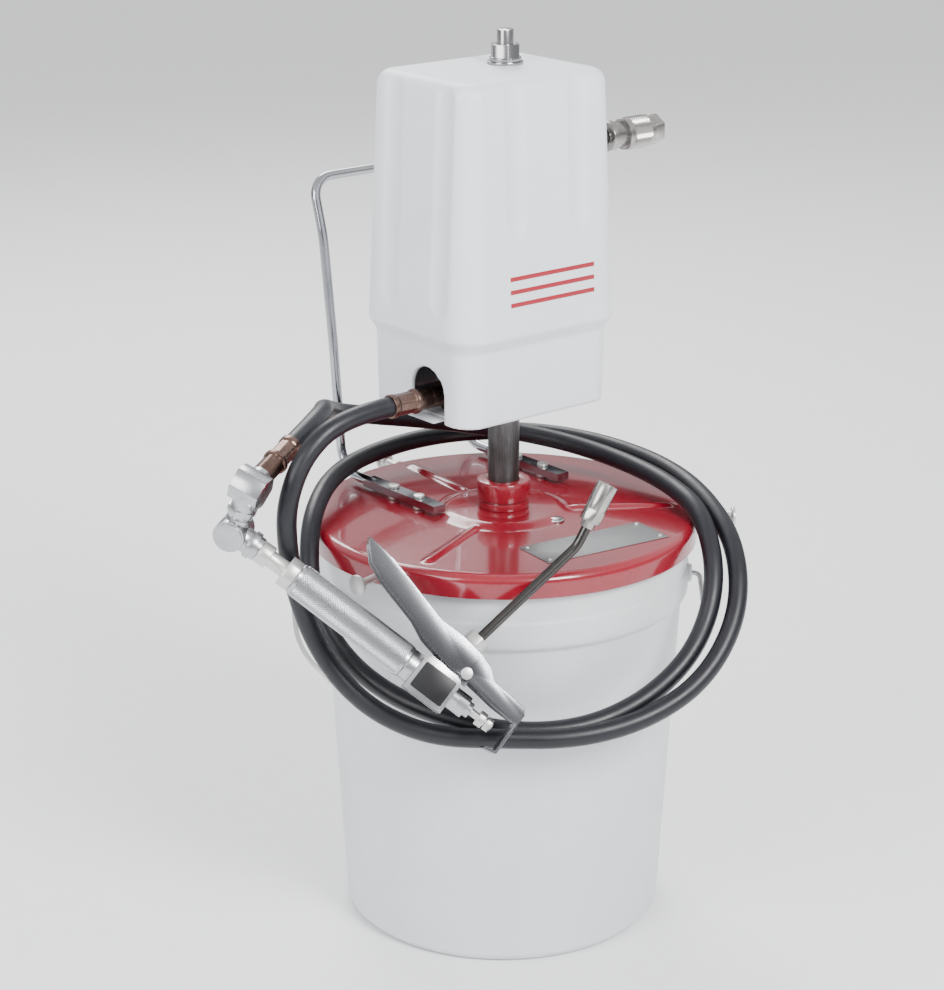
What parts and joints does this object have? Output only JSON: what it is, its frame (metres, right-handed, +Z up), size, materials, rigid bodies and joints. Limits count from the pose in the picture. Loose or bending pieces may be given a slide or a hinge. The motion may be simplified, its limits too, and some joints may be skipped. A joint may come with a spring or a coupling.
{
  "type": "air operated lubricant pump",
  "caption": "Air operated lubricant pump on a pail lid, with a covered air motor, a delivery hose in loose turns and a hand control gun with a swivel and a rigid nozzle.",
  "frame": {"origin": "centre of the pail foot, on the floor", "axes": "+Z up along the pump tube, +X to the air inlet coupler, -X to the lubricant outlet, +Y to the carrying handle"},
  "size_m": [0.4412, 0.3956, 0.7305],
  "materials": {
    "pail_enamel": "baked enamel, semi-gloss",
    "lid_enamel": "deep glossy enamel",
    "galvanised_wire": "galvanised",
    "gasket_rubber": "matte",
    "vent_cap": "moulded",
    "blank_plate": "satin",
    "zinc_plate": "zinc plated",
    "handle_chrome": "polished",
    "tube_steel": "drawn and oiled",
    "bearing_steel": "ground",
    "head_iron": "painted casting",
    "plate_grey": "powder coat",
    "motor_alloy": "machined",
    "sintered_bronze": "sintered",
    "cover_plastic": "moulded, fine texture",
    "nut_chrome": "bright plate",
    "coupler_steel": "nickel plated",
    "bronze_plate": "brown passivated zinc plate",
    "hose_rubber": "smooth cover",
    "gun_zinc": "die cast, knurled grip",
    "lever_plate": "pressed and plated",
    "extension_steel": "drawn and plated",
    "gun_label_black": "printed film, blank"
  },
  "bodies": {
    "pail": {"pail": "pail_enamel"},
    "pump_and_lid": {"air_cylinder": "motor_alloy", "base_plate": "plate_grey", "carrying_handle": "handle_chrome", "cover_nut": "nut_chrome", "cover_stud": "nut_chrome", "cover_washer": "nut_chrome", "cylinder_base": "motor_alloy", "cylinder_head": "motor_alloy", "exhaust_muffler": "sintered_bronze", "foot_valve_body": "tube_steel", "handle_screws": "zinc_plate", "hose": "hose_rubber", "hose_ferrule_gun": "bronze_plate", "hose_ferrule_pump": "bronze_plate", "inlet_nipple": "coupler_steel", "label_plate": "blank_plate", "lid": "lid_enamel", "lid_collar": "lid_enamel", "lid_gasket": "gasket_rubber", "motor_cover": "cover_plastic", "outlet_adapter": "bronze_plate", "pump_head": "head_iron", "pump_tube": "tube_steel", "rod_packing": "gasket_rubber", "screw_bosses": "lid_enamel", "swivel_elbow_upper": "gun_zinc", "tie_rods": "zinc_plate", "valve_chest": "motor_alloy", "vent_plug": "vent_cap"},
    "bail": {"bail_wire": "galvanised_wire"},
    "reciprocator": {"air_piston": "motor_alloy", "piston_seal": "gasket_rubber", "piston_rod": "bearing_steel", "plunger": "tube_steel"},
    "inlet_ball": {"inlet_ball": "bearing_steel"},
    "discharge_ball": {"discharge_ball": "bearing_steel"},
    "air_spool": {"air_spool": "bearing_steel"},
    "air_coupler": {"coupler_body": "coupler_steel"},
    "coupler_sleeve": {"coupler_sleeve": "coupler_steel"},
    "swivel_elbow": {"swivel_elbow_lower": "gun_zinc"},
    "control_gun": {"gun_inlet": "zinc_plate", "grip_tube": "gun_zinc", "gun_body": "gun_zinc", "gun_label": "gun_label_black", "outlet_hex": "zinc_plate", "extension_tube": "extension_steel", "grease_coupler": "coupler_steel"},
    "lever": {"lever": "lever_plate", "lever_pin": "zinc_plate"},
    "valve_stem": {"valve_stem": "zinc_plate"},
    "thumb_screw_1": {"thumb_screw_1": "zinc_plate"},
    "thumb_screw_2": {"thumb_screw_2": "zinc_plate"},
    "thumb_screw_3": {"thumb_screw_3": "zinc_plate"}
  },
  "joints": [
    {"name": "lid_lift", "type": "slide", "parent": "pail", "child": "pump_and_lid", "axis": [0, 0, 1], "range_m": [0, 0.34]},
    {"name": "bail_swing", "type": "hinge", "parent": "pail", "child": "bail", "pos_m": [0, 0, 0.296], "axis": [-0.6691, 0.7431, 0], "range_deg": [0, 3.5]},
    {"name": "pump_stroke", "type": "slide", "parent": "pump_and_lid", "child": "reciprocator", "axis": [0, 0, 1], "range_m": [0, 0.06]},
    {"name": "inlet_ball_lift", "type": "slide", "parent": "pump_and_lid", "child": "inlet_ball", "axis": [0, 0, 1], "range_m": [0, 0.0035]},
    {"name": "discharge_ball_lift", "type": "slide", "parent": "reciprocator", "child": "discharge_ball", "axis": [0, 0, 1], "range_m": [0, 0.003]},
    {"name": "spool_shift", "type": "slide", "parent": "pump_and_lid", "child": "air_spool", "axis": [0, 1, 0], "range_m": [0, 0.006]},
    {"name": "coupler_turn", "type": "hinge", "parent": "pump_and_lid", "child": "air_coupler", "pos_m": [0.15, 0, 0.6345], "axis": [1, 0, 0], "continuous": true},
    {"name": "sleeve_release", "type": "slide", "parent": "air_coupler", "child": "coupler_sleeve", "axis": [-1, 0, 0], "range_m": [0, 0.005], "stiffness_N_per_m": 600},
    {"name": "gun_swing", "type": "hinge", "parent": "pump_and_lid", "child": "swivel_elbow", "pos_m": [-0.26407, -0.00234, 0.38344], "axis": [-0.1505, 0.375, -0.9148], "range_deg": [0, 90]},
    {"name": "gun_turn", "type": "hinge", "parent": "swivel_elbow", "child": "control_gun", "pos_m": [-0.2346, -0.039, 0.3495], "axis": [0.5081, -0.6321, -0.5851], "range_deg": [0, 90]},
    {"name": "lever_squeeze", "type": "hinge", "parent": "control_gun", "child": "lever", "pos_m": [-0.14767, -0.13165, 0.27896], "axis": [-0.4936, -0.7704, 0.4036], "range_deg": [0, 9], "stiffness_Nm_per_rad": 4},
    {"name": "stem_travel", "type": "slide", "parent": "control_gun", "child": "valve_stem", "axis": [0.5081, -0.6321, -0.5851], "range_m": [0, 0.0055]},
    {"name": "thumb_screw_1_back_out", "type": "slide", "parent": "pump_and_lid", "child": "thumb_screw_1", "axis": [0.1132, 0.9936, 0], "range_m": [0, 0.008]},
    {"name": "thumb_screw_2_back_out", "type": "slide", "parent": "pump_and_lid", "child": "thumb_screw_2", "axis": [-0.9703, -0.2419, 0], "range_m": [0, 0.008]},
    {"name": "thumb_screw_3_back_out", "type": "slide", "parent": "pump_and_lid", "child": "thumb_screw_3", "axis": [0.8039, -0.5948, 0], "range_m": [0, 0.008]}
  ],
  "couplings": [
    {"joint": "stem_travel", "follows": "lever_squeeze", "m_per_rad": 0.0345}
  ]
}
